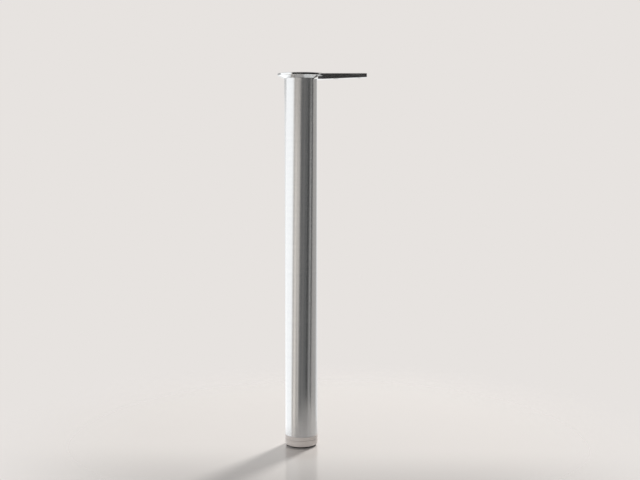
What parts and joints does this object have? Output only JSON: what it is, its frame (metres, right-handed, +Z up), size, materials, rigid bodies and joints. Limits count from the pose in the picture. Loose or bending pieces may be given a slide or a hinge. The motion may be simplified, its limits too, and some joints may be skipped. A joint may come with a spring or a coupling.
{
  "type": "height adjustable table leg",
  "caption": "Round chromed steel table leg with a cast corner mounting plate on long arms at its top and a screw-out levelling foot on a glide pad.",
  "frame": {"origin": "centre of the glide pad's lower face, on the tube's axis at floor level, foot screwed right in", "axes": "+Z up along the tube towards the mounting plate, +X and +Y along the plate's arms"},
  "size_m": [0.1625, 0.1625, 0.69],
  "materials": {
    "polished_chrome": "polished chrome plate on a zinc casting",
    "brushed_chrome": "brushed round the tube and chromed",
    "grey_plastic": "smooth satin, warm light grey",
    "black_plastic": "matt black",
    "zinc_plated_steel": "bright zinc plate",
    "black_steel": "black oxide",
    "nylon": "blue nylon"
  },
  "bodies": {
    "leg": {"mounting_plate": "polished_chrome", "locking_screw": "black_steel", "leg_tube": "brushed_chrome", "tube_collar": "grey_plastic", "threaded_bush": "zinc_plated_steel"},
    "glide": {"glide_pad": "black_plastic"},
    "foot": {"foot_cup": "grey_plastic", "spindle": "zinc_plated_steel", "stop_washer": "zinc_plated_steel", "stop_nut": "zinc_plated_steel", "nut_insert": "nylon"}
  },
  "joints": [
    {"name": "foot_height", "type": "slide", "parent": "leg", "child": "glide", "axis": [0, 0, -1], "range_m": [0, 0.03]},
    {"name": "foot_turn", "type": "hinge", "parent": "glide", "child": "foot", "pos_m": [0, 0, 0], "axis": [0, 0, -1], "range_deg": [0, 7200]}
  ],
  "couplings": [
    {"joint": "foot_turn", "follows": "foot_height", "rad_per_m": 4188.8}
  ]
}
